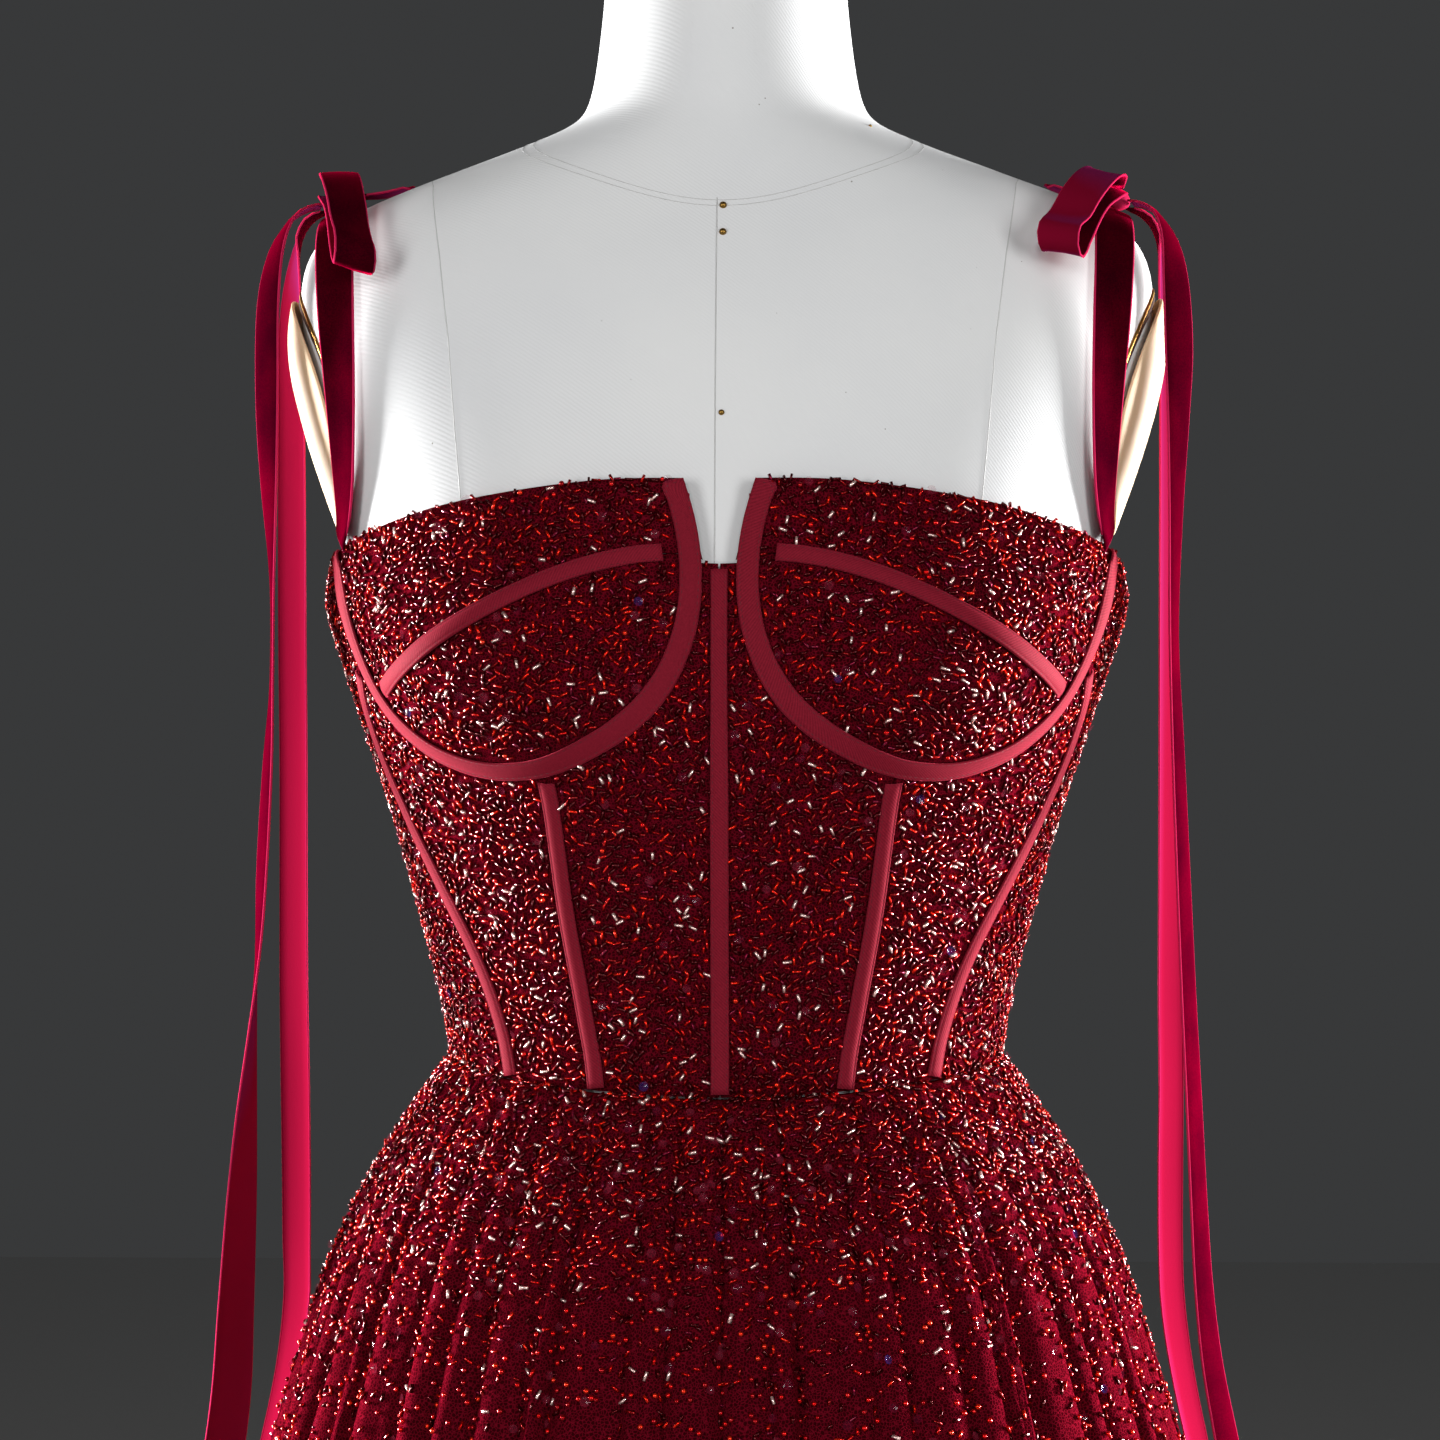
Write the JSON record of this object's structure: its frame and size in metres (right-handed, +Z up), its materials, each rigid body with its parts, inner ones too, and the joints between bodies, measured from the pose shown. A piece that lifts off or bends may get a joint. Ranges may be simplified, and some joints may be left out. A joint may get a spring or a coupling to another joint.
{
  "type": "a-line evening gown on a dress form",
  "caption": "Floor-length a-line evening gown with a boned, cupped bodice, gathered skirt and ribbon straps tied in bows, on a limbless dress form with a round stand.",
  "frame": {"origin": "on the floor under the middle of the stand, the bottom centre of the bounding box", "axes": "+Z up, the front of the gown faces -Y, the wearer's left is +X"},
  "size_m": [0.7594, 0.7594, 1.5],
  "materials": {
    "beaded_net": "dark red net over cloth, sewn all over with glossy beads",
    "boning_tape": "matt woven tape",
    "velvet": "velvet pile, satin back",
    "linen": "tight off-white twill",
    "plate_cream": "cream paint with a gilt rim",
    "steel": "satin",
    "cast_iron": "black paint"
  },
  "bodies": {
    "root": {"cup_upper_left": "beaded_net", "cup_upper_right": "beaded_net", "cup_lower_left": "beaded_net", "cup_lower_right": "beaded_net", "front_centre_left": "beaded_net", "front_centre_right": "beaded_net", "front_side_left": "beaded_net", "front_side_right": "beaded_net", "side_left": "beaded_net", "side_right": "beaded_net", "back_left": "beaded_net", "back_right": "beaded_net", "skirt_front": "beaded_net", "skirt_back_left": "beaded_net", "skirt_back_right": "beaded_net", "tape_centre_front": "boning_tape", "tape_cup_wire_left": "boning_tape", "tape_cup_wire_right": "boning_tape", "tape_cup_seam_left": "boning_tape", "tape_cup_seam_right": "boning_tape", "tape_princess_left": "boning_tape", "tape_princess_right": "boning_tape", "tape_side_front_left": "boning_tape", "tape_side_front_right": "boning_tape", "strap_front_left": "velvet", "strap_front_right": "velvet", "strap_back_left": "velvet", "strap_back_right": "velvet", "knot_left": "velvet", "knot_right": "velvet", "front_loop_left": "velvet", "front_loop_right": "velvet", "back_loop_left": "velvet", "back_loop_right": "velvet", "tail_front_left": "velvet", "tail_front_right": "velvet", "tail_back_left": "velvet", "tail_back_right": "velvet", "form_body": "linen", "form_neck_cap": "linen", "form_arm_plate_left": "plate_cream", "form_arm_plate_right": "plate_cream", "stand_pole": "steel", "stand_base": "cast_iron"}
  },
  "joints": []
}
